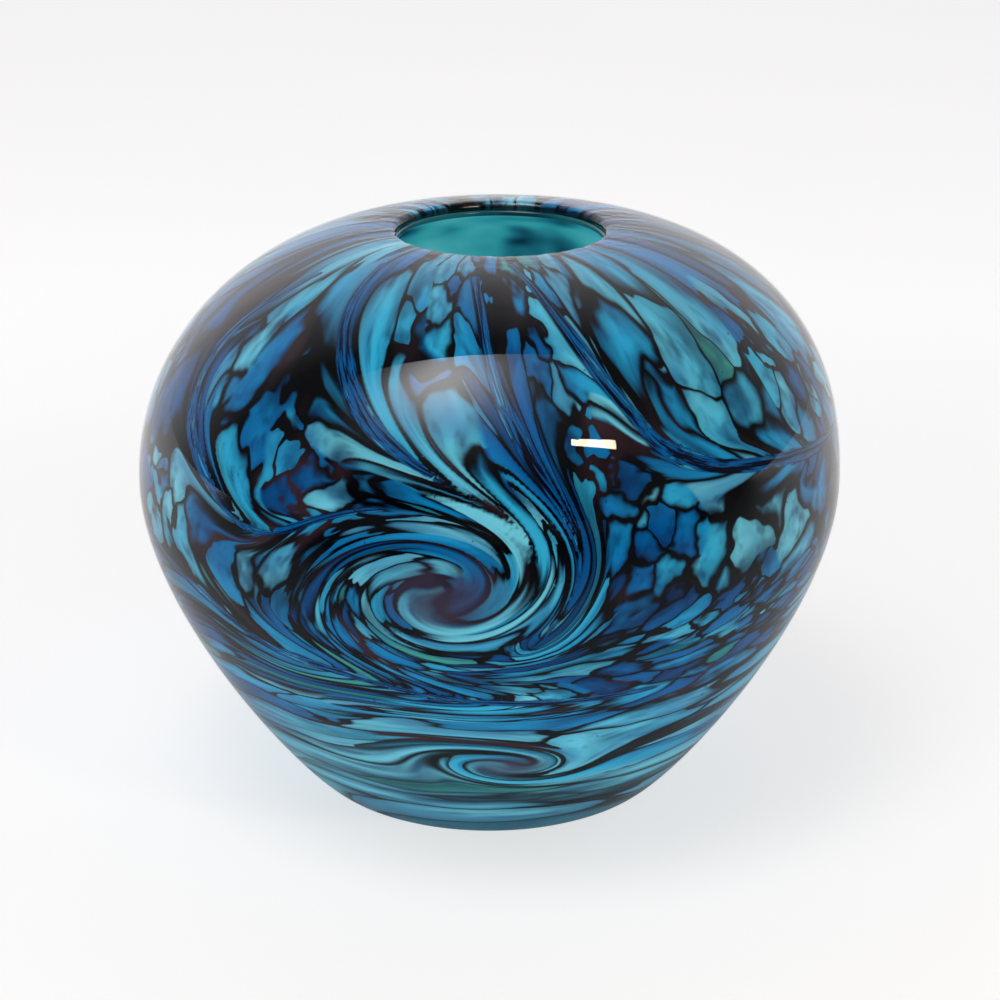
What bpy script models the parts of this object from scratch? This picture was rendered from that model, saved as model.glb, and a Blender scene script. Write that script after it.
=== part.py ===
"""Hand-blown cased glass vase: a squat round vessel with a narrow mouth, made of layers of glass.

From the inside out: a turquoise lining, a dark aubergine overlay, coarse chips and cobalt trails picked
up on that overlay, and a heavy clear casing with a flat foot and a ground, hollow pontil mark.
Metres, +Z up. The origin is on the surface the vase stands on, under the middle of the belly.
"""

import math
import random

import bmesh
import bpy
from mathutils import Vector

# Outer shape
BELLY_RADIUS = 0.0800
BELLY_HEIGHT = 0.0726
HEIGHT = 0.1294
MOUTH_RADIUS = 0.0231
MOUTH_SHIFT = 0.0025  # the hand-worked mouth sits a little to +X of the belly
FOOT_RADIUS = 0.0398
PONTIL_RADIUS = 0.0140
PONTIL_DEPTH = 0.0015
LIP_RADIUS = 0.0013

# How far each curve of the outer outline pulls before it turns
FOOT_PULL = 0.0070
FOOT_ANGLE = math.radians(25)
FLANK_PULL = 0.0271
SHOULDER_PULL = 0.0420
CROWN_PULL = 0.0190
FLOOR_PULL = 0.0400

# Depth of each glass boundary under the outer surface: at the lip, at the belly, and its floor's height
GAP = 0.0003  # between neighbouring layers
PICKUP_BAND = 0.0015  # room for the chips and trails between the overlay and the casing
CASING_INNER = (0.0011, 0.0030, 0.0050)
OVERLAY_OUTER = tuple(depth + PICKUP_BAND for depth in CASING_INNER)
OVERLAY_INNER = tuple(depth + 0.0007 for depth in OVERLAY_OUTER)
LINING_OUTER = tuple(depth + GAP for depth in OVERLAY_INNER)
LINING_INNER = (0.0050, 0.0078, 0.0105)
LINING_EDGE_RADIUS = 0.0006

# Facets
SEGMENTS = 48  # round the axis
CURVE_STEPS = 9  # along each Bezier curve of an outline
LIP_STEPS = 3  # round the casing's fire-polished lip

# Everything picked up on the overlay stands this far above it, and is this thick
PICKUP_CLEARANCE = 0.0005
PICKUP_THICKNESS = 0.0005

# Frit chips
CHIP_ROWS = 5
CHIP_TURNS = (0.36, 0.86)  # first and last row, as a share of the overlay's outline from floor to mouth
CHIP_PITCH = 0.050  # room given to one chip round a row
CHIP_HALF_LENGTH = (0.0070, 0.0090)  # shortest and longest
CHIP_HALF_WIDTH = (0.0042, 0.0060)
CHIP_RINGS = (0.55, 1.0)
CHIP_SIDES = 8
COBALT_SHARE = 0.30
EMERALD_EVERY = 11  # one chip in this many is emerald
SEED = 7

# Cobalt trails: a tooled swirl on the front, and ribbons that lie between the rows of chips
TRAIL_WIDTH = 0.0034
SWIRL_AZIMUTH = math.radians(-96.5)
SWIRL_TURN = 0.56
SWIRL_RADII = (0.0035, 0.0170)
SWIRL_ANGLE = math.radians(480)
SWIRL_STEPS = 34
RIBBONS = ((0.5, 20, 130), (1.5, 150, 240), (2.5, -50, 60), (2.5, 115, 215))  # row, azimuths in degrees
RIBBON_WAVE = 0.0012
RIBBON_STEPS = 22

# Colours as (red, green, blue), with roughness
CLEAR = ((0.93, 0.97, 0.98), 0.03)
AUBERGINE = ((0.020, 0.010, 0.022), 0.15)
TURQUOISE = ((0.10, 0.52, 0.62), 0.15)
COBALT = ((0.01, 0.09, 0.36), 0.15)
EMERALD = ((0.02, 0.33, 0.20), 0.15)
TEAL = ((0.07, 0.42, 0.42), 0.15)


def glass(name, look, clear=False):
    """A glass material; clear glass lets light through, and coloured glass is dense."""
    colour, roughness = look
    made = bpy.data.materials.new(name)
    made.use_nodes = True
    shader = made.node_tree.nodes["Principled BSDF"]
    shader.inputs["Base Color"].default_value = (*colour, 1.0)
    shader.inputs["Roughness"].default_value = roughness
    shader.inputs["Metallic"].default_value = 0.0
    shader.inputs["IOR"].default_value = 1.5
    if clear:
        shader.inputs["Transmission Weight"].default_value = 1.0
    return made


def bezier(start, pull_out, pull_in, end, steps):
    """Points (radius, height) along a cubic Bezier curve, without its start."""
    points = []
    for step in range(1, steps + 1):
        t = step / steps
        weights = ((1 - t) ** 3, 3 * (1 - t) ** 2 * t, 3 * (1 - t) * t * t, t**3)
        corners = (start, pull_out, pull_in, end)
        points.append(tuple(sum(w * c[axis] for w, c in zip(weights, corners)) for axis in (0, 1)))
    return points


def crown(belly, mouth, shrink):
    """The curve from the belly up over the shoulder and in to the mouth."""
    shoulder_pull = (belly[0], belly[1] + SHOULDER_PULL * shrink)
    crown_pull = (mouth[0] + CROWN_PULL * shrink, mouth[1])
    return bezier(belly, shoulder_pull, crown_pull, mouth, CURVE_STEPS)


def outer_outline():
    """The casing's outside, from the pontil's centre to the foot, the belly and round the lip."""
    points = [(0.0, PONTIL_DEPTH), (PONTIL_RADIUS * 0.6, PONTIL_DEPTH * 0.64)]
    points += [(PONTIL_RADIUS, 0.0), (FOOT_RADIUS, 0.0)]
    foot_pull = (
        FOOT_RADIUS + FOOT_PULL * math.cos(FOOT_ANGLE),
        FOOT_PULL * math.sin(FOOT_ANGLE),
    )
    belly = (BELLY_RADIUS, BELLY_HEIGHT)
    points += bezier(points[-1], foot_pull, (BELLY_RADIUS, BELLY_HEIGHT - FLANK_PULL), belly, CURVE_STEPS + 2)
    lip_radius = LIP_RADIUS
    points += crown(belly, (MOUTH_RADIUS + lip_radius, HEIGHT), 1.0)
    for step in range(1, LIP_STEPS + 1):
        angle = math.pi / 2 * (1 + step / LIP_STEPS)
        points.append((
            MOUTH_RADIUS + lip_radius + lip_radius * math.cos(angle),
            HEIGHT - lip_radius + lip_radius * math.sin(angle),
        ))
    return points


def inner_outline(depths):
    """A boundary inside the glass, from its floor's centre out to the belly and up to the mouth."""
    lip_depth, wall_depth, floor_height = depths
    shrink = 1 - wall_depth / BELLY_RADIUS
    belly = (BELLY_RADIUS - wall_depth, BELLY_HEIGHT)
    floor_pull = (FLOOR_PULL * shrink, floor_height)
    flank_pull = (belly[0], BELLY_HEIGHT - (BELLY_HEIGHT - floor_height) * 0.5)
    points = [(0.0, floor_height)]
    points += bezier(points[0], floor_pull, flank_pull, belly, CURVE_STEPS)
    return points + crown(belly, (MOUTH_RADIUS, HEIGHT - lip_depth), shrink)


def lean(height):
    """How far the glass at this height is shifted to +X, growing smoothly from the belly to the mouth."""
    share = min(max((height - BELLY_HEIGHT) / (HEIGHT - BELLY_HEIGHT), 0.0), 1.0)
    return MOUTH_SHIFT * share * share * (3 - 2 * share)


def add_object(name, builder, material):
    """Makes a named object from a bmesh, with its faces pointing out and its round parts shaded smooth."""
    bmesh.ops.recalc_face_normals(builder, faces=builder.faces)
    mesh = bpy.data.meshes.new(name)
    builder.to_mesh(mesh)
    builder.free()
    mesh.shade_smooth()
    mesh.set_sharp_from_angle(angle=math.radians(40))
    mesh.materials.append(material)
    made = bpy.data.objects.new(name, mesh)
    bpy.context.scene.collection.objects.link(made)
    return made


def turned_cup(name, outside, inside, material):
    """A cup of glass: its section runs from the axis up the outside, over the edge and down the inside."""
    section = outside + list(reversed(inside))
    builder = bmesh.new()
    corners = [builder.verts.new((radius, 0.0, height)) for radius, height in section]
    edges = [builder.edges.new(pair) for pair in zip(corners, corners[1:])]
    bmesh.ops.spin(
        builder,
        geom=corners + edges,
        axis=(0, 0, 1),
        cent=(0, 0, 0),
        angle=math.tau,
        steps=SEGMENTS,
        use_merge=True,
    )
    bmesh.ops.remove_doubles(builder, verts=builder.verts, dist=1e-6)
    for corner in builder.verts:
        corner.co.x += lean(corner.co.z)
    return add_object(name, builder, material)


def make_casing():
    """The clear outer gather, with the foot and a lip that closes over the edge of the picked-up band."""
    inside = inner_outline(CASING_INNER)[:-1]
    lip_floor = HEIGHT - OVERLAY_OUTER[0] + GAP
    radius = inside[-1][0]
    inside += [(radius, lip_floor - (HEIGHT - CASING_INNER[0] - inside[-1][1])), (MOUTH_RADIUS, lip_floor)]
    return turned_cup("clear_casing", outer_outline(), inside, glass("clear_glass", CLEAR, clear=True))


def make_overlay():
    """The dark layer that the chips and trails were picked up on."""
    outside = inner_outline(OVERLAY_OUTER)
    inside = inner_outline(OVERLAY_INNER)
    return turned_cup("aubergine_overlay", outside, inside, glass("aubergine_glass", AUBERGINE))


def make_lining():
    """The innermost bubble, with its lower mouth edge softened by the flame."""
    inside = inner_outline(LINING_INNER)
    radius, height = inside[-1]
    inside[-1] = (radius + LINING_EDGE_RADIUS, height)
    inside.append((radius, height + LINING_EDGE_RADIUS))
    return turned_cup("turquoise_lining", inner_outline(LINING_OUTER), inside, glass("teal_glass", TEAL))


class Surface:
    """The overlay's outside, as places given by length along its outline and by azimuth."""

    def __init__(self, outline):
        self.points = [Vector(point) for point in outline]
        self.reach = [0.0]
        for before, after in zip(self.points, self.points[1:]):
            self.reach.append(self.reach[-1] + (after - before).length)

    def section(self, length):
        """(radius, height) and outward direction of the outline at this length from the floor's centre."""
        index = max(i for i, reach in enumerate(self.reach[:-1]) if reach <= length)
        along = self.points[index + 1] - self.points[index]
        share = (length - self.reach[index]) / along.length
        return self.points[index] + along * share, Vector((along.y, -along.x)).normalized()

    def point(self, length, azimuth, height_above):
        """A point this far above the surface, with the mouth's lean."""
        place, outward = self.section(length)
        place = place + outward * height_above
        return Vector((
            place.x * math.cos(azimuth) + lean(place.y),
            place.x * math.sin(azimuth),
            place.y,
        ))

    def beside(self, length, azimuth, rise, run):
        """The (length, azimuth) reached by going up the outline by rise and round the axis by run."""
        return length + rise, azimuth + run / self.section(length)[0].x


def picked_up_levels():
    return PICKUP_CLEARANCE, PICKUP_CLEARANCE + PICKUP_THICKNESS


def make_chip(name, surface, centre, half_length, half_width, turn, material):
    """One frit chip: a thin oval tile that follows the overlay's curve, turned in its own plane."""
    builder = bmesh.new()
    lids = []
    for level in picked_up_levels():
        rings = []
        for ring in CHIP_RINGS:
            corners = []
            for side in range(CHIP_SIDES):
                angle = math.tau * side / CHIP_SIDES
                along = ring * half_length * math.cos(angle)
                across = ring * half_width * math.sin(angle)
                rise = along * math.cos(turn) - across * math.sin(turn)
                run = along * math.sin(turn) + across * math.cos(turn)
                corners.append(builder.verts.new(surface.point(*surface.beside(*centre, rise, run), level)))
            rings.append(corners)
        lids.append((builder.verts.new(surface.point(*centre, level)), rings))
    for middle, (inner, outer) in lids:
        for side in range(CHIP_SIDES):
            after = (side + 1) % CHIP_SIDES
            builder.faces.new((middle, inner[side], inner[after]))
            builder.faces.new((inner[side], outer[side], outer[after], inner[after]))
    low_edge, high_edge = (rings[-1] for _, rings in lids)
    for side in range(CHIP_SIDES):
        after = (side + 1) % CHIP_SIDES
        builder.faces.new((low_edge[side], low_edge[after], high_edge[after], high_edge[side]))
    return add_object(name, builder, material)


def make_trail(name, surface, path, material):
    """A ribbon of glass along a path of (length, azimuth) places on the overlay, pointed at both ends."""
    builder = bmesh.new()
    sections = []
    for step, (length, azimuth) in enumerate(path):
        before = path[max(step - 1, 0)]
        after = path[min(step + 1, len(path) - 1)]
        rise, run = after[0] - before[0], (after[1] - before[1]) * surface.section(length)[0].x
        pace = math.hypot(rise, run)
        half_width = TRAIL_WIDTH / 2 * (0.35 + 0.65 * math.sin(math.pi * step / (len(path) - 1)) ** 0.5)
        section = []
        for level, sides in zip(picked_up_levels(), ((-1, 0, 1), (1, 0, -1))):
            for side in sides:
                offset = side * half_width
                place = surface.beside(length, azimuth, -offset * run / pace, offset * rise / pace)
                section.append(builder.verts.new(surface.point(*place, level)))
        sections.append(section)
    for before, after in zip(sections, sections[1:]):
        for corner in range(len(before)):
            following = (corner + 1) % len(before)
            builder.faces.new((before[corner], before[following], after[following], after[corner]))
    builder.faces.new(sections[0])
    builder.faces.new(sections[-1])
    return add_object(name, builder, material)


def swirl_path(surface, centre):
    """A spiral that opens steadily round its centre."""
    path = []
    for step in range(SWIRL_STEPS + 1):
        share = step / SWIRL_STEPS
        radius = SWIRL_RADII[0] + (SWIRL_RADII[1] - SWIRL_RADII[0]) * share
        angle = SWIRL_ANGLE * share
        path.append(surface.beside(*centre, radius * math.sin(angle), radius * math.cos(angle)))
    return path


def ribbon_path(length, start, end):
    """A gently waving path round the axis from one azimuth to the other."""
    path = []
    for step in range(RIBBON_STEPS + 1):
        share = step / RIBBON_STEPS
        path.append((length + RIBBON_WAVE * math.sin(math.tau * share), start + (end - start) * share))
    return path


def make_pickups():
    """The cobalt trails, then rows of chips wherever the swirl leaves room."""
    surface = Surface(inner_outline(OVERLAY_OUTER))
    glasses = {
        "turquoise": glass("turquoise_glass", TURQUOISE),
        "cobalt": glass("cobalt_glass", COBALT),
        "emerald": glass("emerald_glass", EMERALD),
    }
    whole = surface.reach[-1]
    first = whole * CHIP_TURNS[0]
    row_pitch = whole * (CHIP_TURNS[1] - CHIP_TURNS[0]) / (CHIP_ROWS - 1)
    swirl = (whole * SWIRL_TURN, SWIRL_AZIMUTH)
    swirl_room = SWIRL_RADII[1] + TRAIL_WIDTH + CHIP_HALF_LENGTH[1]
    make_trail("cobalt_swirl", surface, swirl_path(surface, swirl), glasses["cobalt"])
    for number, (row, start, end) in enumerate(RIBBONS, 1):
        path = ribbon_path(first + row * row_pitch, math.radians(start), math.radians(end))
        make_trail(f"cobalt_ribbon_{number}", surface, path, glasses["cobalt"])
    draw = random.Random(SEED)
    counts = dict.fromkeys(glasses, 0)
    for row in range(CHIP_ROWS):
        length = first + row * row_pitch
        radius = surface.section(length)[0].x
        around = round(math.tau * radius / CHIP_PITCH)
        # Low chips lie along the twist of the flank, and high ones point at the mouth.
        lie = math.radians(70) * (1 - row / (CHIP_ROWS - 1))
        for place in range(around):
            azimuth = math.tau * (place + 0.5 * (row % 2) + draw.uniform(-0.08, 0.08)) / around
            half_length = draw.uniform(*CHIP_HALF_LENGTH)
            half_width = draw.uniform(*CHIP_HALF_WIDTH)
            turn = lie + math.radians(draw.uniform(-12, 12))
            colour = "cobalt" if draw.random() < COBALT_SHARE else "turquoise"
            away = math.remainder(azimuth - SWIRL_AZIMUTH, math.tau) * radius
            if math.hypot(away, length - swirl[0]) < swirl_room:
                continue
            if (sum(counts.values()) + 1) % EMERALD_EVERY == 0:
                colour = "emerald"
            counts[colour] += 1
            name = f"{colour}_chip_{counts[colour]:02d}"
            make_chip(name, surface, (length, azimuth), half_length, half_width, turn, glasses[colour])


def main():
    for old in list(bpy.data.objects):
        bpy.data.objects.remove(old)
    make_casing()
    make_overlay()
    make_lining()
    make_pickups()


main()
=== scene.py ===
import math
import random

import bmesh
import bpy
import numpy as np
from mathutils import Matrix, Vector


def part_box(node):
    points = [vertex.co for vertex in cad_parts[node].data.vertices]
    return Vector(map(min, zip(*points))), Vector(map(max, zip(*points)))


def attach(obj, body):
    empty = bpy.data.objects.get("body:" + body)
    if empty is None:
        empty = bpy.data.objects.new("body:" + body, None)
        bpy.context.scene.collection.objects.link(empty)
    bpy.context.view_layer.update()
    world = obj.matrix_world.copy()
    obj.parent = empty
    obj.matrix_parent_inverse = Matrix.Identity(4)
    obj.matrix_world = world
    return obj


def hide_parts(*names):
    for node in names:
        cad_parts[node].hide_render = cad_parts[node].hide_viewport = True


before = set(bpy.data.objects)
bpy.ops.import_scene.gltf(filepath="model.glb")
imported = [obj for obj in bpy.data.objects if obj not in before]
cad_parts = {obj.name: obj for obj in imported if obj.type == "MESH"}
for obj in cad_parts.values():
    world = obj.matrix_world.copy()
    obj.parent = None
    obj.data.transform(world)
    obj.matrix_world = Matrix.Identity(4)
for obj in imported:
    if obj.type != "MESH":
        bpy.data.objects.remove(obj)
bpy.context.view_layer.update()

# ---------------------------------------------------------------- sizes, in metres

casing_low, casing_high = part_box("clear_casing")
HEIGHT = casing_high.z
BELLY_RADIUS = (casing_high.x - casing_low.x) / 2
BELLY_HEIGHT = 0.0726
MOUTH_RADIUS = 0.0231
MOUTH_SHIFT = 0.0025
FOOT_RADIUS = 0.0398
FOOT_PULL = 0.0070
FOOT_ANGLE = math.radians(25)
FLANK_PULL = 0.0271
SHOULDER_PULL = 0.0420
CROWN_PULL = 0.0190
FLOOR_PULL = 0.0400
FOOT_BEVEL = 0.0015
FOOT_BEVEL_HEIGHT = 0.00005
PONTIL_RADIUS = 0.0140
PONTIL_DEPTH = 0.0015
PONTIL_BEVEL = 0.0004
LIP_RADIUS = 0.0016
BLOWN_WOBBLE = 0.00022
LIP_WOBBLE = 0.00004
LIP_FROM = 0.985  # the share of the height from which the lip is uneven
BUBBLES = 150
BUBBLE_SEED = 7
BUBBLE_STRETCH = 1.35

# Depth under the outer surface at the lip and at the belly, height of the floor, and how far the
# boundary stops short of the mouth
COLOUR_OUTER = (0.0008, 0.0028, 0.0048, 0.0009)
CASING_INNER = (0.0019, 0.0034, 0.0054, 0.0003)
COLOUR_INNER = (0.0022, 0.0058, 0.0078, 0.0009)
LINING_OUTER = (0.0021, 0.0061, 0.0081, 0.0003)
LINING_INNER = (0.0034, 0.0078, 0.0105, 0.0003)

SEGMENTS = 240
CURVE_STEPS = 44

# The colour layer is finer, because its points also carry the pattern's places
COLOUR_SEGMENTS = 440
COLOUR_STEPS = 88
COLOUR_BACK_STEPS = 12

# The middle of the ball that the marbled pattern is wrapped round
PATTERN_CENTRE = Vector((0.0, 0.0, 0.066))


# ---------------------------------------------------------------- outlines


def bezier(start, pull_out, pull_in, end, steps=CURVE_STEPS):
    """Points (radius, height) along a cubic Bezier curve, without its start."""
    points = []
    for step in range(1, steps + 1):
        t = step / steps
        weights = ((1 - t) ** 3, 3 * (1 - t) ** 2 * t, 3 * (1 - t) * t * t, t**3)
        corners = (start, pull_out, pull_in, end)
        points.append(tuple(sum(w * c[axis] for w, c in zip(weights, corners)) for axis in (0, 1)))
    return points


def arc(centre, radius, start, end, steps):
    """Points on an arc, angles in degrees from the outward direction towards up, ends included."""
    points = []
    for step in range(steps + 1):
        angle = math.radians(start + (end - start) * step / steps)
        points.append((centre[0] + radius * math.cos(angle), centre[1] + radius * math.sin(angle)))
    return points


def crown(belly, mouth, shrink=1.0, steps=CURVE_STEPS):
    """The curve from the belly up over the shoulder and in to the mouth."""
    shoulder_pull = (belly[0], belly[1] + SHOULDER_PULL * shrink)
    crown_pull = (mouth[0] + CROWN_PULL * shrink, mouth[1])
    return bezier(belly, shoulder_pull, crown_pull, mouth, steps)


def flank():
    """The casing's outside from the foot's edge to the belly."""
    foot_pull = (FOOT_RADIUS + FOOT_PULL * math.cos(FOOT_ANGLE), FOOT_PULL * math.sin(FOOT_ANGLE))
    belly_pull = (BELLY_RADIUS, BELLY_HEIGHT - FLANK_PULL)
    return bezier((FOOT_RADIUS, 0.0), foot_pull, belly_pull, (BELLY_RADIUS, BELLY_HEIGHT))


def casing_outside():
    """From the pontil's centre over the ground foot, up the flank and over the rolled lip."""
    points = [(0.0, PONTIL_DEPTH)]
    dish_steps = 10
    for step in range(1, dish_steps + 1):
        share = step / dish_steps
        points.append((PONTIL_RADIUS * share, PONTIL_DEPTH * (1 - share * share)))
    points += [(PONTIL_RADIUS + PONTIL_BEVEL, 0.0), (FOOT_RADIUS - FOOT_BEVEL, 0.0)]
    points.append((FOOT_RADIUS, FOOT_BEVEL_HEIGHT))
    points += flank()[1:]
    points += crown((BELLY_RADIUS, BELLY_HEIGHT), (MOUTH_RADIUS + LIP_RADIUS, HEIGHT))
    points += arc((MOUTH_RADIUS + LIP_RADIUS, HEIGHT - LIP_RADIUS), LIP_RADIUS, 90, 198, 14)[1:]
    return points


def boundary(depths, steps=CURVE_STEPS):
    """A boundary inside the glass, from its floor's centre out to the belly and up to the mouth."""
    lip_depth, wall_depth, floor_height, set_back = depths
    shrink = 1 - wall_depth / BELLY_RADIUS
    belly = (BELLY_RADIUS - wall_depth, BELLY_HEIGHT)
    floor_pull = (FLOOR_PULL * shrink, floor_height)
    flank_pull = (belly[0], BELLY_HEIGHT - (BELLY_HEIGHT - floor_height) * 0.5)
    points = [(0.0, floor_height)]
    points += bezier(points[0], floor_pull, flank_pull, belly, steps)
    return points + crown(belly, (MOUTH_RADIUS + set_back, HEIGHT - lip_depth), shrink, steps)


def radius_at(height):
    """The casing's outer radius at a height."""
    points = flank() + crown((BELLY_RADIUS, BELLY_HEIGHT), (MOUTH_RADIUS + LIP_RADIUS, HEIGHT))
    for (r0, z0), (r1, z1) in zip(points, points[1:]):
        if z0 <= height <= z1 and z1 > z0:
            return r0 + (r1 - r0) * (height - z0) / (z1 - z0)
    return points[0][0]


def lean(height):
    """How far the glass at this height is shifted to +X, growing smoothly from the belly to the mouth."""
    share = min(max((height - BELLY_HEIGHT) / (HEIGHT - BELLY_HEIGHT), 0.0), 1.0)
    return MOUTH_SHIFT * share * share * (3 - 2 * share)


def blown(azimuth, radius, height):
    """A point of the glass, azimuth in radians: a little uneven as blown glass is, and never outside
    the true outline."""
    up = height / HEIGHT
    wave = math.sin(2 * azimuth + 0.7 + 2.1 * up) + 0.6 * math.sin(3 * azimuth + 4.0 - 3.3 * up)
    wave += 0.4 * math.sin(5 * azimuth + 1.9 + 7.0 * up)
    dent = BLOWN_WOBBLE * (2.0 - wave) / 4.0 * math.sin(math.pi * min(max(up, 0.0), 1.0))
    kept = max(radius - dent * min(radius / MOUTH_RADIUS, 1.0), 0.0)
    ripple = 2.0 + math.sin(23 * azimuth + 1.0)
    ripple += 0.6 * math.sin(37 * azimuth + 2.0)
    ripple += 0.4 * math.sin(61 * azimuth)
    at_lip = min(max((up - LIP_FROM) / (1 - LIP_FROM), 0.0), 1.0)
    fallen = LIP_WOBBLE * ripple * at_lip
    return Vector((kept * math.sin(azimuth) + lean(height), -kept * math.cos(azimuth), height - fallen))


# ---------------------------------------------------------------- pieces


def add_piece(name, builder, material, bubbles=()):
    """Makes a smooth-shaded object from a bmesh; bubbles are (centre, radius) of voids in its glass."""
    bmesh.ops.recalc_face_normals(builder, faces=builder.faces)
    for centre, radius in bubbles:
        shape = Matrix.Translation(centre) @ Matrix.Diagonal((1.0, 1.0, BUBBLE_STRETCH, 1.0))
        made = bmesh.ops.create_icosphere(builder, subdivisions=2, radius=radius, matrix=shape)
        hollow = list({face for vert in made["verts"] for face in vert.link_faces})
        bmesh.ops.reverse_faces(builder, faces=hollow)
    mesh = bpy.data.meshes.new(name)
    builder.to_mesh(mesh)
    builder.free()
    mesh.shade_smooth()
    mesh.set_sharp_from_angle(angle=math.radians(42))
    mesh.materials.append(material)
    piece = bpy.data.objects.new(name, mesh)
    bpy.context.scene.collection.objects.link(piece)
    return piece


def turned(name, section, material, segments=SEGMENTS, bubbles=()):
    """A closed turned shell whose section starts and ends on the axis. Its two points on the axis come
    first in the mesh, and then its rings in order."""
    builder = bmesh.new()
    first = builder.verts.new(blown(0.0, *section[0]))
    last = builder.verts.new(blown(0.0, *section[-1]))
    rings = []
    for radius, height in section[1:-1]:
        ring = [builder.verts.new(blown(math.tau * i / segments, radius, height)) for i in range(segments)]
        rings.append(ring)
    for i in range(segments):
        j = (i + 1) % segments
        builder.faces.new((first, rings[0][i], rings[0][j]))
        builder.faces.new((last, rings[-1][j], rings[-1][i]))
        for low, high in zip(rings, rings[1:]):
            builder.faces.new((low[i], high[i], high[j], low[j]))
    return add_piece(name, builder, material, bubbles)


def seed_bubbles():
    """The small bubbles that stay in hand-gathered glass, scattered in the clear wall."""
    draw = random.Random(BUBBLE_SEED)
    found = []
    for _ in range(BUBBLES):
        height = draw.uniform(0.2, 0.9) * HEIGHT
        azimuth = draw.uniform(0.0, math.tau)
        depth = draw.uniform(0.0011, 0.0017)
        found.append((blown(azimuth, radius_at(height) - depth, height), draw.uniform(0.00012, 0.00034)))
    return found


def rounded_shell(outside, inside, steps=6):
    """A shell's section with its mouth edge rounded from the outside boundary to the inside one."""
    (r0, z0), (r1, z1) = outside[-1], inside[-1]
    middle = ((r0 + r1) / 2, (z0 + z1) / 2)
    edge = arc(middle, abs(z0 - z1) / 2, 90, 270, steps * 2)[1:-1]
    return outside + edge + list(reversed(inside))


# ---------------------------------------------------------------- shader graphs


class Graph:
    """Short calls for building one material's nodes."""

    def __init__(self, name):
        self.material = bpy.data.materials.new(name)
        self.material.use_nodes = True
        self.tree = self.material.node_tree
        self.tree.nodes.clear()

    def put(self, kind, *inputs, **settings):
        """Adds a node; inputs are (socket, value or link) pairs, and settings are its own properties."""
        node = self.tree.nodes.new(kind)
        for key, value in settings.items():
            setattr(node, key, value)
        for socket, value in inputs:
            self.feed(node.inputs[socket], value)
        return node

    def feed(self, socket, value):
        if isinstance(value, bpy.types.NodeSocket):
            self.tree.links.new(value, socket)
        else:
            socket.default_value = value

    def math(self, operation, *values):
        return self.put("ShaderNodeMath", *enumerate(values), operation=operation).outputs[0]

    def vector(self, operation, *values):
        """A vector operation whose answer is a vector."""
        return self.put("ShaderNodeVectorMath", *enumerate(values), operation=operation).outputs[0]

    def scale(self, vector, factor):
        node = self.put("ShaderNodeVectorMath", (0, vector), ("Scale", factor), operation="SCALE")
        return node.outputs[0]

    def measure(self, operation, *values):
        """A vector operation whose answer is a number."""
        return self.put("ShaderNodeVectorMath", *enumerate(values), operation=operation).outputs[1]

    def noise(self, place, scale, detail=2.0, roughness=0.5, output="Fac"):
        node = self.put(
            "ShaderNodeTexNoise",
            ("Vector", place),
            ("Scale", scale),
            ("Detail", detail),
            ("Roughness", roughness),
        )
        return node.outputs[output]

    def voronoi(self, place, scale, feature):
        return self.put("ShaderNodeTexVoronoi", ("Vector", place), ("Scale", scale), feature=feature)

    def smooth(self, value, low, high, to_low=0.0, to_high=1.0):
        """to_low below low, to_high above high, and an S-curve between."""
        node = self.put(
            "ShaderNodeMapRange",
            ("Value", value),
            ("From Min", low),
            ("From Max", high),
            ("To Min", to_low),
            ("To Max", to_high),
            interpolation_type="SMOOTHSTEP",
        )
        return node.outputs[0]

    def mix(self, factor, under, over):
        """Two colours mixed; each is a link or a (red, green, blue) of the screen's own 0 to 255 scale."""
        node = self.tree.nodes.new("ShaderNodeMix")
        node.data_type = "RGBA"
        self.feed(node.inputs[0], factor)
        self.feed(node.inputs[6], under if isinstance(under, bpy.types.NodeSocket) else paint(under))
        self.feed(node.inputs[7], over if isinstance(over, bpy.types.NodeSocket) else paint(over))
        return node.outputs[2]

    def ramp(self, value, stops):
        """A colour ramp from (place, colour) stops."""
        node = self.put("ShaderNodeValToRGB", (0, value))
        elements = node.color_ramp.elements
        while len(elements) < len(stops):
            elements.new(1.0)
        for element, (place, colour) in zip(elements, stops):
            element.position = place
            element.color = paint(colour)
        return node.outputs[0]

    def finish(self, surface):
        self.put("ShaderNodeOutputMaterial", ("Surface", surface))
        return self.material


def paint(colour):
    """A screen colour of 0 to 255 as the linear colour that shaders use."""
    linear = [(c / 255 / 12.92 if c <= 10 else ((c / 255 + 0.055) / 1.055) ** 2.4) for c in colour]
    return (*linear, 1.0)


# ---------------------------------------------------------------- the glassmaker's tool work

# The pattern lives on a ball round PATTERN_CENTRE, as directions from it. The chips were fused first,
# the lip and the foot were then pulled, next the tool was dragged along the strokes, and last the
# swirls were turned. To find which chip shows at a place, each of these is undone, last one first.

# Swirls: azimuth in degrees and height of the middle, reach in radians, turn in radians (positive
# for glass that went round clockwise, seen from outside) and how much wider than high it is
SWIRLS = (
    (-6.5, 0.0724, 0.155, 4.6, 1.50),
    (4.5, 0.0225, 0.115, 4.4, 1.70),
)

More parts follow.
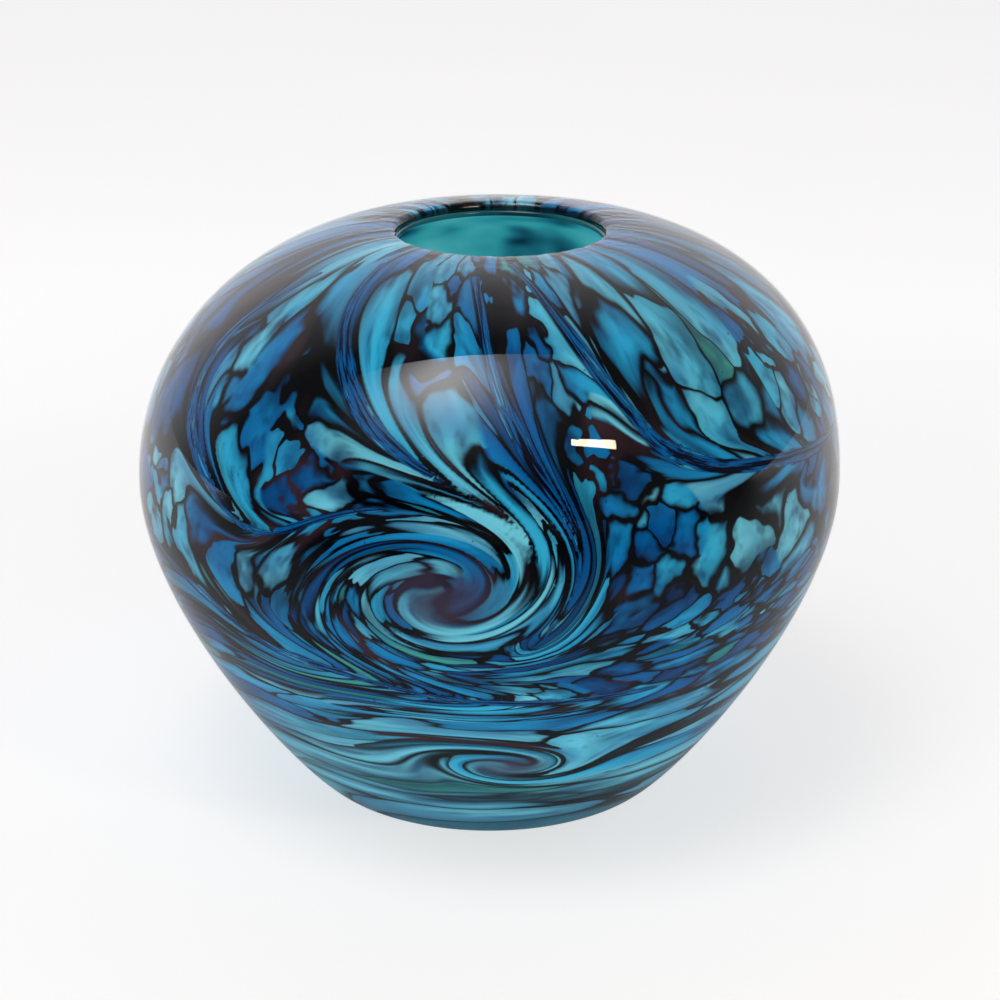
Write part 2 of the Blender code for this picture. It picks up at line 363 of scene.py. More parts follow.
# The tool's ways over the glass, as (azimuth in degrees, height) from start to end
LEFT_STREAM = (
    (-40, 0.1285), (-35, 0.1215), (-28, 0.1120), (-20, 0.1030), (-9, 0.0930), (0, 0.0830),
)
MIDDLE_STREAM = (
    (-2, 0.1280), (0, 0.1150), (5, 0.1020), (10, 0.0890), (14, 0.0760), (13, 0.0620), (0, 0.0540),
)
RIGHT_STREAM = (
    (12, 0.1290), (19, 0.1200), (25, 0.1090), (30, 0.1010), (42, 0.0940), (60, 0.0885), (80, 0.0880),
)
FAR_LEFT_STREAM = (
    (-60, 0.1260), (-66, 0.1130), (-62, 0.0990), (-52, 0.0880), (-38, 0.0815), (-20, 0.0840),
)
LOW_BAND = (
    (-75, 0.0700), (-50, 0.0600), (-25, 0.0500), (0, 0.0450), (30, 0.0460), (60, 0.0560),
)

# Strokes: the tool's way, its width and pull in radians, and half the width of the dark and cobalt
# glass that it laid down
STROKES = (
    (LEFT_STREAM, 0.055, 0.32, 0.034),
    (MIDDLE_STREAM, 0.050, 0.40, 0.036),
    (RIGHT_STREAM, 0.050, 0.22, 0.034),
    (FAR_LEFT_STREAM, 0.045, 0.35, 0.034),
    (LOW_BAND, 0.080, 0.45, 0.022),
)

TRAIL_END = 0.35  # how wide the laid glass is at a stroke's ends, as a share of its full width
NO_LANE = 9.0  # the way across, in half-widths, where no stroke is near

CHIP_SHIFT = (3.1, -1.6, 1.7)  # which part of the endless field of chips the ball was rolled in

# The same work again round the vase: degrees further round, and how much higher
REPEATS = ((0, 0.0), (178, -0.003))

# How far the lip was pulled, in radians, how much that differs round it, and how far down it reaches
LIP_PULL = 0.66
LIP_PULL_SWAY = 0.14
LIP_PULL_REACH = 0.75

BAND_TOP = 0.05  # where the pulled-out bands of the foot start, as the ball's own height
BAND_LENGTH = 0.17
BAND_CLOSENESS = 1.55
BAND_TWIST = 1.2


def direction(azimuth, height):
    """From the pattern's centre to the point of the casing at an azimuth in degrees and a height."""
    radius = radius_at(height)
    angle = math.radians(azimuth)
    place = Vector((radius * math.sin(angle), -radius * math.cos(angle), height))
    return np.array((place - PATTERN_CENTRE).normalized())


def unit(points):
    return points / np.linalg.norm(points, axis=-1, keepdims=True)


def eased(values, low, high):
    """0 below low, 1 above high, and an S-curve between."""
    share = np.clip((values - low) / (high - low), 0.0, 1.0)
    return share * share * (3 - 2 * share)


def unswirl(points, azimuth, height, reach, turn, flatness):
    """Takes the places near a swirl's middle back round it; also gives how near each one is to it."""
    middle = direction(azimuth, height)
    across = unit(np.cross((0.0, 0.0, 1.0), middle))
    upward = np.cross(middle, across)
    u, v = points @ across / flatness, points @ upward
    nearness = np.exp(-(u * u + v * v) / reach**2) * (points @ middle > 0)
    angle = turn * nearness
    turned_u = u * np.cos(angle) - v * np.sin(angle)
    turned_v = u * np.sin(angle) + v * np.cos(angle)
    flat = np.outer(turned_u * flatness, across) + np.outer(turned_v, upward)
    depth = np.sqrt(np.clip(1 - (flat * flat).sum(axis=1), 0.0, 1.0))
    moved = unit(flat + np.outer(depth, middle))
    return np.where((nearness > 1e-5)[:, None], moved, points), nearness


def smooth_path(corners, steps=5):
    """Directions along a smooth curve through the corners."""
    ends = [2 * corners[0] - corners[1], *corners, 2 * corners[-1] - corners[-2]]
    path = [corners[0]]
    for before, start, end, after in zip(ends, ends[1:], ends[2:], ends[3:]):
        for step in range(1, steps + 1):
            t = step / steps
            bend = (2 * before - 5 * start + 4 * end - after) * t * t
            bend += (3 * (start - end) + after - before) * t**3
            path.append(unit(start + ((end - before) * t + bend) / 2))
    return np.array(path)


def nearest_on(path, points):
    """For each point: the way across the path to it, positive to its left, the share of the path
    behind its nearest place, and the path's direction there."""
    best = np.full(len(points), np.inf)
    share = np.zeros(len(points))
    along = np.zeros_like(points)
    foot = np.zeros_like(points)
    headings = unit(np.gradient(path, axis=0))
    for index, (start, end) in enumerate(zip(path, path[1:])):
        span = end - start
        t = np.clip((points - start) @ span / (span @ span), 0.0, 1.0)[:, None]
        spot = start + t * span
        gap = np.linalg.norm(points - spot, axis=1)
        closer = gap < best
        best[closer] = gap[closer]
        share[closer] = (index + t[closer, 0]) / (len(path) - 1)
        foot[closer] = spot[closer]
        along[closer] = (headings[index] + t * (headings[index + 1] - headings[index]))[closer]
    left = np.cross(foot, along)
    side = np.sign((left * (points - foot)).sum(axis=1))
    return best * side, share, unit(along)


def near_path(path, points, reach):
    """Which points may lie within reach of the path."""
    middle = unit(path.mean(axis=0))
    spread = np.arccos(np.clip(path @ middle, -1, 1)).max() + reach
    return points @ middle > math.cos(min(spread, 3.0))


def undrag(points, path, width, pull, passes=3):
    """Takes the glass along a stroke back to where the tool found it, in small steps."""
    points = points.copy()
    near = near_path(path, points, 2.4 * width + pull)
    for _ in range(passes):
        across, share, along = nearest_on(path, points[near])
        strength = pull / passes * np.exp(-((across / width) ** 2))
        strength *= eased(share, 0.0, 0.35) * eased(1 - share, 0.0, 0.40)
        points[near] = unit(points[near] - along * strength[:, None])
    return points


def unpull_lip(points):
    """Undoes the pull towards the lip, which drew the chips near it into long narrow streaks."""
    polar = np.arccos(np.clip(points[:, 2], -1, 1))
    azimuth = np.arctan2(points[:, 0], -points[:, 1])
    pull = LIP_PULL - LIP_PULL_SWAY * np.cos(2 * azimuth)
    wide = polar + pull * np.exp(-((polar / LIP_PULL_REACH) ** 2))
    level = np.sin(wide)
    return np.stack((level * np.sin(azimuth), -level * np.cos(azimuth), np.cos(wide)), axis=1)


def unpull_bands(points):
    """Undoes the winding of the lower flank, which drew its chips into long near-level bands."""
    low = eased(BAND_TOP - points[:, 2], 0.0, 0.65)
    shrink = 1 - (1 - BAND_LENGTH) * low
    angle = BAND_TWIST * low
    x = (points[:, 0] * np.cos(angle) - points[:, 1] * np.sin(angle)) * shrink
    y = (points[:, 0] * np.sin(angle) + points[:, 1] * np.cos(angle)) * shrink
    below = np.clip(BAND_TOP - points[:, 2], 0.0, None)
    z = points[:, 2] - (BAND_CLOSENESS - 1) * below * eased(below, 0.0, 0.3)
    return np.stack((x, y, z), axis=1)


def sway(points):
    """The small unevenness of work done by hand."""
    x, y, z = points.T
    moved = np.stack(
        (
            np.sin(5.1 * y + 3.7 * z + 0.4) + 0.5 * np.sin(11.0 * z - 6.0 * y + 2.0),
            np.sin(4.3 * z - 5.2 * x + 1.3) + 0.5 * np.sin(9.0 * x + 8.0 * z + 0.7),
            np.sin(4.7 * x + 4.9 * y + 2.9) + 0.5 * np.sin(10.0 * y - 7.0 * x + 5.1),
        ),
        axis=1,
    )
    return unit(points + 0.016 * moved)


def undo_tools(points):
    """(place before any tool, lane in the nearest stroke, nearness to a swirl's middle) of each point.

    A lane is (way across in half-widths, way along in half-widths, the stroke's own number)."""
    ball = unit(points - np.array(PATTERN_CENTRE))
    flow = sway(ball)
    heart = np.zeros(len(flow))
    for turn_round, rise in REPEATS:
        for azimuth, height, *shape in SWIRLS:
            flow, nearness = unswirl(flow, azimuth + turn_round, height + rise, *shape)
            heart = np.maximum(heart, nearness)
    lane = np.full((len(flow), 3), NO_LANE)
    number = 0
    laid = flow.copy()
    for turn_round, rise in REPEATS:
        for places, width, pull, half_width in STROKES:
            lifted = [(azimuth + turn_round, min(height + rise, HEIGHT)) for azimuth, height in places]
            path = smooth_path([direction(*place) for place in lifted])
            near = np.flatnonzero(near_path(path, laid, 4 * half_width))
            across, share, along = nearest_on(path, laid[near])
            bulge = np.sin(np.pi * np.clip(share, 0.02, 0.98))
            taper = half_width * (TRAIL_END + (1 - TRAIL_END) * bulge)
            across = across / taper
            closer = np.abs(across) < np.abs(lane[near, 0])
            length = np.linalg.norm(np.diff(path, axis=0), axis=1).sum() / half_width
            found = np.stack((across, share * length, np.full(len(near), number)), axis=1)
            lane[near[closer]] = found[closer]
            flow = undrag(flow, path, width, pull)
            number += 1
    return unpull_bands(unpull_lip(flow)) + np.array(CHIP_SHIFT), lane, heart


def draw_out(places, flow, segments):
    """How many times finer the tools drew the pattern out at each point of a turned piece's rings."""
    rings, spots = (array[2:].reshape(-1, segments, 3) for array in (places, flow))
    finest = np.zeros(rings.shape[:2])
    for axis in (0, 1):
        step = np.linalg.norm(np.roll(rings, -1, axis) - rings, axis=2) + 1e-5
        change = np.linalg.norm(np.roll(spots, -1, axis) - spots, axis=2)
        finest = np.maximum(finest, change / step)
    drawn = finest.ravel() * BELLY_RADIUS
    return np.concatenate(((1.0, 1.0), drawn))


def mark_places(piece, segments):
    """Stores what the tools did on the points of the colour layer, for its material to read."""
    mesh = piece.data
    places = np.zeros(len(mesh.vertices) * 3)
    mesh.vertices.foreach_get("co", places)
    places = places.reshape(-1, 3)
    flow, lane, heart = undo_tools(places)
    for name, values in (("flow", flow), ("lane", lane)):
        mesh.attributes.new(name, "FLOAT_VECTOR", "POINT").data.foreach_set("vector", values.ravel())
    away = np.abs(lane[:, 0])
    for name, values in (("heart", heart), ("away", away), ("drawn", draw_out(places, flow, segments))):
        mesh.attributes.new(name, "FLOAT", "POINT").data.foreach_set("value", values)


# ---------------------------------------------------------------- the marbled colour

# Colours are (red, green, blue) from 0 to 255, as a screen shows them. A ramp's stops are
# (place on the ramp, colour).
CHIP_BLUES = (
    (0.00, (122, 224, 246)),
    (0.28, (56, 194, 236)),
    (0.55, (20, 152, 214)),
    (0.72, (6, 118, 190)),
    (0.88, (0, 90, 158)),
    (1.00, (0, 54, 106)),
)
TRAIL_BLUES = (
    (0.34, (3, 5, 12)),
    (0.43, (4, 16, 44)),
    (0.49, (0, 82, 146)),
    (0.56, (2, 106, 172)),
    (0.60, (4, 26, 62)),
    (0.66, (62, 160, 206)),
)
EMERALD = (20, 150, 110)
CLOUD_BLUE = (6, 98, 168)
SMOKE_BLUE = (2, 28, 62)
WISP_BLUE = (6, 38, 78)
RIM_BLUE = (6, 34, 74)
GRAIN_BLUE = (8, 50, 104)
SUNKEN_BLUE = (6, 62, 118)
DARK_GLASS = (4, 5, 10)
RUST = (58, 38, 44)
TRAIL_EDGE = (5, 8, 18)
UMBER = (70, 60, 82)
MOUTH_DARK = (4, 6, 12)

# How many chips lie side by side in a radian of the ball, and how far their outlines wander
CHIP_SCALE = 6.4
SMALL_CHIP_SCALE = 11.0
CHIP_WANDER = 0.95
PLAIN_CHIPS = 0.955  # the share of chips that aren't emerald
POOL_SHIFT = (2.7, 5.1, 0.9)  # where the noise of the dark pools is read

# The bands near the foot are lighter and have less dark glass between them. Both fade out upwards,
# from one height to another.
FOOT_BANDS_LOW = 0.012
FOOT_LIGHTER = 0.60
FOOT_LIGHTER_END = 0.052
FOOT_CLOSER = 0.055
FOOT_CLOSER_END = 0.060


def read(g, name, output):
    """What mark_places stored under this name."""
    return g.put("ShaderNodeAttribute", attribute_name=name).outputs[output]


def object_place(g):
    """The shaded point, in metres from the middle of the foot."""
    return g.put("ShaderNodeTexCoord").outputs["Object"]


def part_of(g, vector, axis):
    """One number of a vector: 0 for x, 1 for y and 2 for z."""
    return g.put("ShaderNodeSeparateXYZ", (0, vector)).outputs[axis]


def chips(g, flow, scale):
    """(how deep inside a chip, random colour of the chip), with rounded and wandering outlines."""
    wander = g.vector("SUBTRACT", g.noise(flow, scale * 1.1, 2.0, output="Color"), (0.5, 0.5, 0.5))
    place = g.vector("ADD", flow, g.scale(wander, CHIP_WANDER / scale))
    edge = g.voronoi(place, scale, "DISTANCE_TO_EDGE").outputs["Distance"]
    cell = g.voronoi(place, scale, "F1")
    corner = g.smooth(cell.outputs["Distance"], 0.45, 1.0, 0.0, 0.11)
    return g.math("SUBTRACT", edge, corner), cell.outputs["Color"]


def mixed_chips(g, flow):
    """(depth inside a chip, three random numbers of the chip), small chips in some places only."""
    deep, random_colour = chips(g, flow, CHIP_SCALE)
    small_deep, small_colour = chips(g, flow, SMALL_CHIP_SCALE)
    where_small = g.smooth(g.noise(flow, 2.3, 1.0), 0.53, 0.55)
    deeper = g.math("MULTIPLY", where_small, g.math("SUBTRACT", small_deep, deep))
    picked = g.put("ShaderNodeSeparateColor", (0, g.mix(where_small, random_colour, small_colour)))
    return g.math("ADD", deep, deeper), picked.outputs


def chip_colour(g, flow, height, deep, picked, calm):
    """The glass of the chips: its blue, a few emerald ones, and the clouds, smoke and rims in it."""
    hue, lift, shade = picked[0], picked[1], picked[2]
    zone = g.noise(flow, 2.0, 1.0)
    hue = g.math("ADD", hue, g.math("MULTIPLY", g.math("SUBTRACT", zone, 0.53), 1.6))
    lighter = g.smooth(height, FOOT_BANDS_LOW, FOOT_LIGHTER_END, FOOT_LIGHTER, 0.0)
    base = g.ramp(g.math("SUBTRACT", hue, lighter), CHIP_BLUES)
    base = g.mix(g.smooth(lift, PLAIN_CHIPS, PLAIN_CHIPS + 0.01, 0.0, 0.7), base, EMERALD)
    cloud = g.noise(flow, 7.0, 2.0, 0.5)
    base = g.mix(g.smooth(cloud, 0.42, 0.62, 0.0, 0.55), base, CLOUD_BLUE)
    smoke = g.noise(flow, 5.0, 3.0, 0.55)
    base = g.mix(g.smooth(smoke, 0.48, 0.70, 0.0, 0.72), base, SMOKE_BLUE)
    wisp = g.smooth(g.noise(flow, 13.0, 2.0, 0.5), 0.52, 0.70, 0.0, 0.55)
    base = g.mix(g.math("MULTIPLY", wisp, calm), base, WISP_BLUE)
    rim = g.math("MULTIPLY", g.smooth(deep, 0.0, 0.32, 0.60, 0.0), g.smooth(shade, 0.0, 1.0, 0.3, 1.0))
    base = g.mix(rim, base, RIM_BLUE)
    grain = g.smooth(g.noise(flow, 26.0, 2.0, 0.6), 0.45, 0.75, 0.0, 0.4)
    return g.mix(g.math("MULTIPLY", grain, calm), base, GRAIN_BLUE)


def dark_colour(g, flow, deep):
    """The dark glass between the chips, rust-brown where thin, with blue sunk in it in places."""
    rust = g.smooth(g.noise(flow, 4.0, 2.0), 0.54, 0.70)
    sunken = g.smooth(g.noise(flow, 9.0, 2.0, 0.5), 0.40, 0.58)
    sunken = g.math("MULTIPLY", sunken, g.smooth(deep, 0.03, 0.15, 0.0, 0.75))
    return g.mix(sunken, g.mix(rust, DARK_GLASS, RUST), SUNKEN_BLUE)


def chip_cover(g, flow, height, deep, shade, drawn):
    """1 inside the chips and 0 in the dark glass, which gathers in pools in places."""
    widen = g.math("MINIMUM", g.math("MAXIMUM", drawn, 1.0), 4.0)
    pool_place = g.vector("ADD", flow, POOL_SHIFT)
    pool = g.smooth(g.noise(pool_place, 5.0, 2.0, 0.6), 0.50, 0.76, 0.0, 0.05)
    pool = g.math("SUBTRACT", pool, g.smooth(height, FOOT_BANDS_LOW, FOOT_CLOSER_END, FOOT_CLOSER, 0.0))
    width = g.math("ADD", pool, g.math("MULTIPLY", widen, 0.005))
    soft = g.math("ADD", g.smooth(shade, 0.1, 0.9, 0.01, 0.16), g.math("MULTIPLY", widen, 0.012))
    return g.smooth(deep, width, g.math("ADD", width, soft))


def add_trails(g, marbled, flow, drawn, calm):
    """Lays the cobalt and dark glass of the tool's strokes over the chips."""
    lane = g.put("ShaderNodeSeparateXYZ", (0, read(g, "lane", "Vector")))
    stripe_place = g.put(
        "ShaderNodeCombineXYZ",
        (0, g.math("MULTIPLY", lane.outputs[0], 2.1)),
        (1, g.math("MULTIPLY", lane.outputs[1], 0.14)),
        (2, g.math("MULTIPLY", lane.outputs[2], 3.7)),
    ).outputs[0]
    stripes = g.ramp(g.noise(stripe_place, 1.3, 3.0, 0.55), TRAIL_BLUES)
    ragged = g.math("MULTIPLY", g.math("SUBTRACT", g.noise(flow, 9.0, 2.0, 0.6), 0.5), 1.5)
    ragged = g.math("MULTIPLY", ragged, g.smooth(calm, 0.0, 1.0, 0.3, 1.0))
    across = g.math("ADD", read(g, "away", "Fac"), ragged)
    across = g.math("ADD", across, g.smooth(drawn, 2.4, 3.6, 0.0, 1.2))
    marbled = g.mix(g.smooth(across, 0.70, 1.00, 0.85, 0.0), marbled, TRAIL_EDGE)
    return g.mix(g.smooth(across, 0.60, 0.85, 1.0, 0.0), marbled, stripes)


def marbled_colour(g):
    """The colour of the fused chips, of the dark glass between them and of the tool's trails."""
    flow = read(g, "flow", "Vector")
    drawn = read(g, "drawn", "Fac")
    calm = g.smooth(drawn, 1.5, 3.6, 1.0, 0.0)
    height = part_of(g, object_place(g), 2)
    deep, picked = mixed_chips(g, flow)
    base = chip_colour(g, flow, height, deep, picked, calm)
    cover = chip_cover(g, flow, height, deep, picked[2], drawn)
    marbled = g.mix(cover, dark_colour(g, flow, deep), base)
    marbled = add_trails(g, marbled, flow, drawn, calm)

    umber = g.smooth(read(g, "heart", "Fac"), 0.50, 0.95, 0.0, 0.75)
    umber = g.math("MULTIPLY", umber, g.smooth(g.noise(flow, 8.0, 2.0), 0.36, 0.56))
    marbled = g.mix(umber, marbled, UMBER)

    from_mouth = g.measure("LENGTH", g.vector("SUBTRACT", object_place(g), (MOUTH_SHIFT, 0.0, HEIGHT)))
    edge = g.math("ADD", from_mouth, g.math("MULTIPLY", g.noise(flow, 8.0), 0.001))
    at_mouth = g.smooth(edge, MOUTH_RADIUS + 0.0010, MOUTH_RADIUS + 0.0018, 0.9, 0.0)
    return g.mix(at_mouth, marbled, MOUTH_DARK)


# ---------------------------------------------------------------- materials

GLASS_IOR = 1.5
CLEAR_TINT = (0.97, 0.99, 1.0, 1.0)
TEALS = ((0.34, (104, 204, 204)), (0.50, (62, 168, 176)), (0.58, (34, 116, 134)), (0.64, (8, 44, 64)))
# painted shade: the darker teal that the lining's top edge is painted, towards the rim
LINING_RIM_PAINTED_SHADE = (6, 44, 56)
LINING_GLOW = 0.40  # stands for the light that opal glass scatters inside itself
LINING_PATCH_SCALE = (40.0, 56.0, 26.0)
LINING_PATCH_SHIFT = (4.0, 1.0, 2.0)
DARK_GATHER = (0.015, 0.052, 0.106)  # the middle of the dark patch seen through the mouth
DARK_GATHER_SCALE = (90.0, 30.0, 60.0)


def make_colour_material():
    """Opaque marbled glass without a gloss of its own, because it is fused to the clear glass."""
    g = Graph("marbled_chips")
    shader = g.put(
        "ShaderNodeBsdfPrincipled",
        ("Base Color", marbled_colour(g)),
        ("Roughness", 0.5),
        ("Specular IOR Level", 0.0),
    )
    return g.finish(shader.outputs[0])


def make_lining_material():
    """Opal teal glass with the dark of the layer behind it showing through in soft patches."""
    g = Graph("teal_opal")
    place = object_place(g)
    leaning = g.vector("MULTIPLY", place, LINING_PATCH_SCALE)
    patch = g.noise(g.vector("ADD", leaning, LINING_PATCH_SHIFT), 1.0, 2.0, 0.5)
    gather = g.vector("MULTIPLY", g.vector("SUBTRACT", place, DARK_GATHER), DARK_GATHER_SCALE)
    patch = g.math("ADD", patch, g.smooth(g.measure("LENGTH", gather), 0.3, 1.3, 0.13, 0.0))
    # painted shade: the lining is painted darker along its top edge, near the rim
    rim_painted_shade = g.smooth(part_of(g, place, 2), HEIGHT - 0.0046, HEIGHT - 0.0038, 0.0, 0.85)
    colour = g.mix(rim_painted_shade, g.ramp(patch, TEALS), LINING_RIM_PAINTED_SHADE)
    shader = g.put(
        "ShaderNodeBsdfPrincipled",
        ("Base Color", colour),
        ("Roughness", 0.08),
        ("IOR", GLASS_IOR),
        ("Emission Color", colour),
        ("Emission Strength", LINING_GLOW),
    )
    return g.finish(shader.outputs[0])


def uneven_surface(g, place, height):
    """A faint ripple over all of the glass, and fine dimples round the lip."""
    ripple = g.noise(place, 30.0, 1.0)
    rippled = g.put("ShaderNodeBump", ("Strength", 0.15), ("Distance", 0.0006), ("Height", ripple))
    dimpled = g.put(
        "ShaderNodeBump",
        ("Strength", g.smooth(height, HEIGHT - 0.0016, HEIGHT - 0.0004, 0.0, 0.45)),
        ("Distance", 0.0004),
        ("Height", g.noise(place, 420.0, 1.0)),
        ("Normal", rippled.outputs[0]),
    )
    return dimpled.outputs[0]


def make_clear_material():
    """Clear glass that lets light straight through to the colour under it, matt where it is ground."""
    g = Graph("clear_glass")
    place = object_place(g)
    height = part_of(g, place, 2)
    glass = g.put(
        "ShaderNodeBsdfPrincipled",
        ("Base Color", CLEAR_TINT),
        ("Roughness", g.smooth(height, 0.00002, 0.0001, 0.35, 0.012)),
        ("IOR", GLASS_IOR),
        ("Transmission Weight", 1.0),
        ("Normal", uneven_surface(g, place, height)),
    )
    clear = g.put("ShaderNodeBsdfTransparent", ("Color", CLEAR_TINT))
    ray = g.put("ShaderNodeLightPath")
    passes = g.math("MAXIMUM", ray.outputs["Is Shadow Ray"], ray.outputs["Is Diffuse Ray"])
    mixed = g.put("ShaderNodeMixShader", (0, passes), (1, glass.outputs[0]), (2, clear.outputs[0]))
    return g.finish(mixed.outputs[0])


# ---------------------------------------------------------------- the vase


def make_vase():
    """The three visible pieces, from the outside in. The marbled layer shows the overlay and all of
    the chips, ribbons and the swirl on it."""
    nodes = set(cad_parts)
    shells = {"clear_casing", "aubergine_overlay", "turquoise_lining"}

    glass = turned(
        "clear_gather",
        casing_outside() + list(reversed(boundary(CASING_INNER))),
        make_clear_material(),
        bubbles=seed_bubbles(),
    )
    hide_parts("clear_casing")

    colour = turned(
        "marbled_layer",
        rounded_shell(boundary(COLOUR_OUTER, COLOUR_STEPS), boundary(COLOUR_INNER, COLOUR_BACK_STEPS), 3),
        make_colour_material(),
        COLOUR_SEGMENTS,
    )
    mark_places(colour, COLOUR_SEGMENTS)
    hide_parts("aubergine_overlay", *sorted(nodes - shells))

    lining = turned(
        "opal_lining",
        rounded_shell(boundary(LINING_OUTER), boundary(LINING_INNER)),
        make_lining_material(),
    )
    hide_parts("turquoise_lining")

    for piece in (glass, colour, lining):
        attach(piece, "root")


# ---------------------------------------------------------------- studio

CAMERA_DISTANCE = 0.640
CAMERA_ELEVATION = math.radians(20.3)
CAMERA_TARGET = Vector((0.00242, 0.0, 0.0647))
CAMERA_LENS = 100.0


def casing_point(azimuth, height):
    """A point of the casing's outside and its outward direction there, as if it were turned evenly."""
    angle = math.radians(azimuth)
    step = 0.0004
    radius = radius_at(height)
    slope = Vector((2 * step, radius_at(height - step) - radius_at(height + step))).normalized()
    round_about = Vector((math.sin(angle), -math.cos(angle), 0.0))
    return round_about * radius + Vector((0, 0, height)), round_about * slope.x + Vector((0, 0, slope.y))


def mirrored(azimuth, height, distance):
    """The point that the camera sees reflected in the casing at this azimuth and height."""
    place, outward = casing_point(azimuth, height)
    seen = (place - camera_place()).normalized()
    return place + seen.reflect(outward) * distance


def camera_place():
    """Where the camera stands, in front of the vase and above it."""
    back = Vector((0.0, -math.cos(CAMERA_ELEVATION), math.sin(CAMERA_ELEVATION)))
    return CAMERA_TARGET + back * CAMERA_DISTANCE


FLOOR_RADIUS = 7.0
PAPER_GLOW = 0.63  # light that the paper near the vase gives the camera
FAR_GLOW = 0.73  # the same for the paper far from it
REFLECTED_GLOW = PAPER_GLOW * 1.15  # light of the paper behind the vase in reflections
PAPER_TINT = (1.0, 0.985, 0.98, 1.0)
PAPER_TONES = ((0.3, (190, 190, 192)), (0.7, (194, 194, 195)))
DIM_ROOM = (60, 60, 62)

# What lies beyond the paper is white to the camera. To other rays it is dim, except towards the back:
# it goes from dim to white as the share of their direction that points to the back grows from
# ROOM_DIM_TO to ROOM_WHITE_FROM.
BACKDROP = (0.94, 0.935, 0.935, 1.0)
ROOM_TINT = (0.97, 0.97, 1.0, 1.0)
ROOM_DIM = 0.09
ROOM_DIM_TO = 0.15
ROOM_WHITE_FROM = 0.85

CARD_STEPS = 24

# Cards are placed by where their reflections show on the vase: azimuth in degrees and height there,
# and distance from it, for the corners from the upper left one clockwise
SOFTBOX = ((-27.7, 0.1129, 0.9), (20, 0.1161, 0.9), (15.6, 0.0880, 1.2), (-25.3, 0.0920, 1.2))
LAMP_STRENGTH = 7.5
LAMP_PLACE = (0.42, 0.16)  # the lamp's middle, as shares of the way across the cloth and down it
LAMP_REACH = (0.17, 0.22)
CLOTH_STRENGTH = 0.6
STRIP = ((12.7, 0.1031, 0.4), (20.1, 0.1020, 0.4), (20.1, 0.1008, 0.4), (12.7, 0.1019, 0.4))
STRIP_STRENGTH = 30.0
STRIP_TINT = (1.0, 0.86, 0.62)


def make_floor():
    """A wide sheet of white paper. In reflections it is bright behind the vase and dim towards the
    camera, as if the paper ended there and a dim room began."""
    g = Graph("paper")
    place = object_place(g)
    reflected = g.put("ShaderNodeLightPath").outputs["Is Glossy Ray"]
    forward = part_of(g, place, 1)
    tone = g.ramp(g.noise(place, 6.0, 3.0), PAPER_TONES)
    dim = g.smooth(forward, -0.40, 0.05, 0.85, 0.10)
    tone = g.mix(g.math("MULTIPLY", reflected, dim), tone, DIM_ROOM)
    direct_glow = g.smooth(g.measure("LENGTH", place), 0.12, 0.45, PAPER_GLOW, FAR_GLOW)
    reflected_glow = g.smooth(forward, -0.12, 0.32, 0.0, REFLECTED_GLOW)
    glow = g.put("ShaderNodeMix", (0, reflected), (2, direct_glow), (3, reflected_glow))
    shader = g.put(
        "ShaderNodeBsdfPrincipled",
        ("Base Color", tone),
        ("Roughness", 0.9),
        ("Specular IOR Level", 0.0),
        ("Emission Color", PAPER_TINT),
        ("Emission Strength", glow.outputs[0]),
    )
    builder = bmesh.new()
    bmesh.ops.create_circle(builder, cap_ends=True, segments=96, radius=FLOOR_RADIUS)
    floor = add_piece("floor", builder, g.finish(shader.outputs[0]))


def make_card(name, reflections, glow_at, tint=(1, 1, 1)):
    """A card through four points, seen only in reflections and as light. glow_at gives its strength
    from the share of the way across it and the share of the way down."""
    corners = [mirrored(*reflection) for reflection in reflections]
    g = Graph(name)
    strength = g.put("ShaderNodeAttribute", attribute_name="glow").outputs["Fac"]
    shader = g.put("ShaderNodeEmission", ("Color", (*tint, 1.0)), ("Strength", strength))
    builder = bmesh.new()
    glow = builder.verts.layers.float.new("glow")
    grid = []
    for row in range(CARD_STEPS + 1):
        v = row / CARD_STEPS
        line = []
        for column in range(CARD_STEPS + 1):
            u = column / CARD_STEPS
            shares = ((1 - u) * (1 - v), u * (1 - v), u * v, (1 - u) * v)
            spot = sum((share * corner for share, corner in zip(shares, corners)), Vector())
            vert = builder.verts.new(spot)
            vert[glow] = glow_at(u, v)
            line.append(vert)
        grid.append(line)
    for low, high in zip(grid, grid[1:]):
        for column in range(CARD_STEPS):
            builder.faces.new((low[column], low[column + 1], high[column + 1], high[column]))
    card = add_piece(name, builder, g.finish(shader.outputs[0]))
    card.visible_camera = False


def softbox_glow(u, v):
    """Brightest where the lamp stands behind the cloth, fading out downwards and at both sides."""
    across = (u - LAMP_PLACE[0]) / LAMP_REACH[0]
    down = (v - LAMP_PLACE[1]) / LAMP_REACH[1]
    lamp = LAMP_STRENGTH * math.exp(-(across**2) - down**2)
    cloth = (CLOTH_STRENGTH - 0.2 * u) * (1 - v) ** 1.6
    return (lamp + cloth) * math.sin(math.pi * min(max(u, 0.02), 0.98)) ** 0.35


def strip_glow(u, v):
    """The same all over."""
    return STRIP_STRENGTH


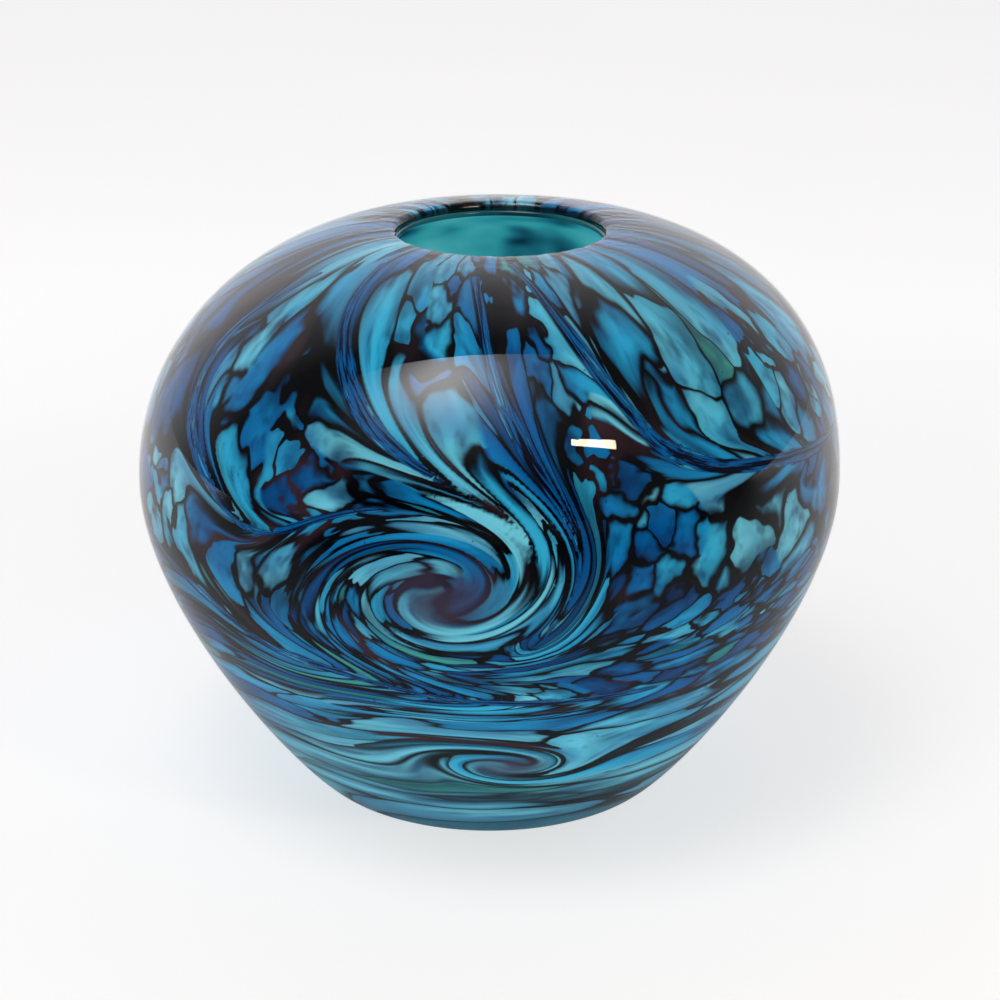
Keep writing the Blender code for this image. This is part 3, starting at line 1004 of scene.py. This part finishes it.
def make_world():
    """The backdrop for the camera, and the room for all other rays."""
    world = bpy.data.worlds.new("studio")
    bpy.context.scene.world = world
    world.use_nodes = True
    tree = world.node_tree
    tree.nodes.clear()
    output = tree.nodes.new("ShaderNodeOutputWorld")
    sky = tree.nodes.new("ShaderNodeBackground")
    room = tree.nodes.new("ShaderNodeBackground")
    mix = tree.nodes.new("ShaderNodeMixShader")
    ray = tree.nodes.new("ShaderNodeLightPath")
    sky.inputs[0].default_value = BACKDROP
    sky.inputs[1].default_value = 1.0
    coordinates = tree.nodes.new("ShaderNodeTexCoord")
    parts = tree.nodes.new("ShaderNodeSeparateXYZ")
    tree.links.new(coordinates.outputs["Generated"], parts.inputs[0])
    ramp = tree.nodes.new("ShaderNodeMapRange")
    ramp.inputs["From Min"].default_value = ROOM_DIM_TO
    ramp.inputs["From Max"].default_value = ROOM_WHITE_FROM
    ramp.inputs["To Min"].default_value = ROOM_DIM
    ramp.inputs["To Max"].default_value = 1.0
    tree.links.new(parts.outputs[1], ramp.inputs["Value"])
    tree.links.new(ramp.outputs[0], room.inputs[1])
    room.inputs[0].default_value = ROOM_TINT
    tree.links.new(ray.outputs["Is Camera Ray"], mix.inputs[0])
    tree.links.new(room.outputs[0], mix.inputs[1])
    tree.links.new(sky.outputs[0], mix.inputs[2])
    tree.links.new(mix.outputs[0], output.inputs[0])


def make_camera():
    """A full-frame camera with a long lens, looking at CAMERA_TARGET."""
    data = bpy.data.cameras.new("camera")
    data.lens = CAMERA_LENS
    data.sensor_width = 36.0
    data.clip_start, data.clip_end = 0.01, 20.0
    camera = bpy.data.objects.new("camera", data)
    bpy.context.scene.collection.objects.link(camera)
    camera.location = camera_place()
    camera.rotation_mode = "QUATERNION"
    camera.rotation_quaternion = (CAMERA_TARGET - camera_place()).to_track_quat("-Z", "Y")
    bpy.context.scene.camera = camera


def make_studio():
    make_floor()
    make_world()
    make_camera()
    make_card("softbox", SOFTBOX, softbox_glow)
    make_card("strip_light", STRIP, strip_glow, STRIP_TINT)
    bpy.context.scene.view_settings.view_transform = "Standard"


make_vase()
make_studio()
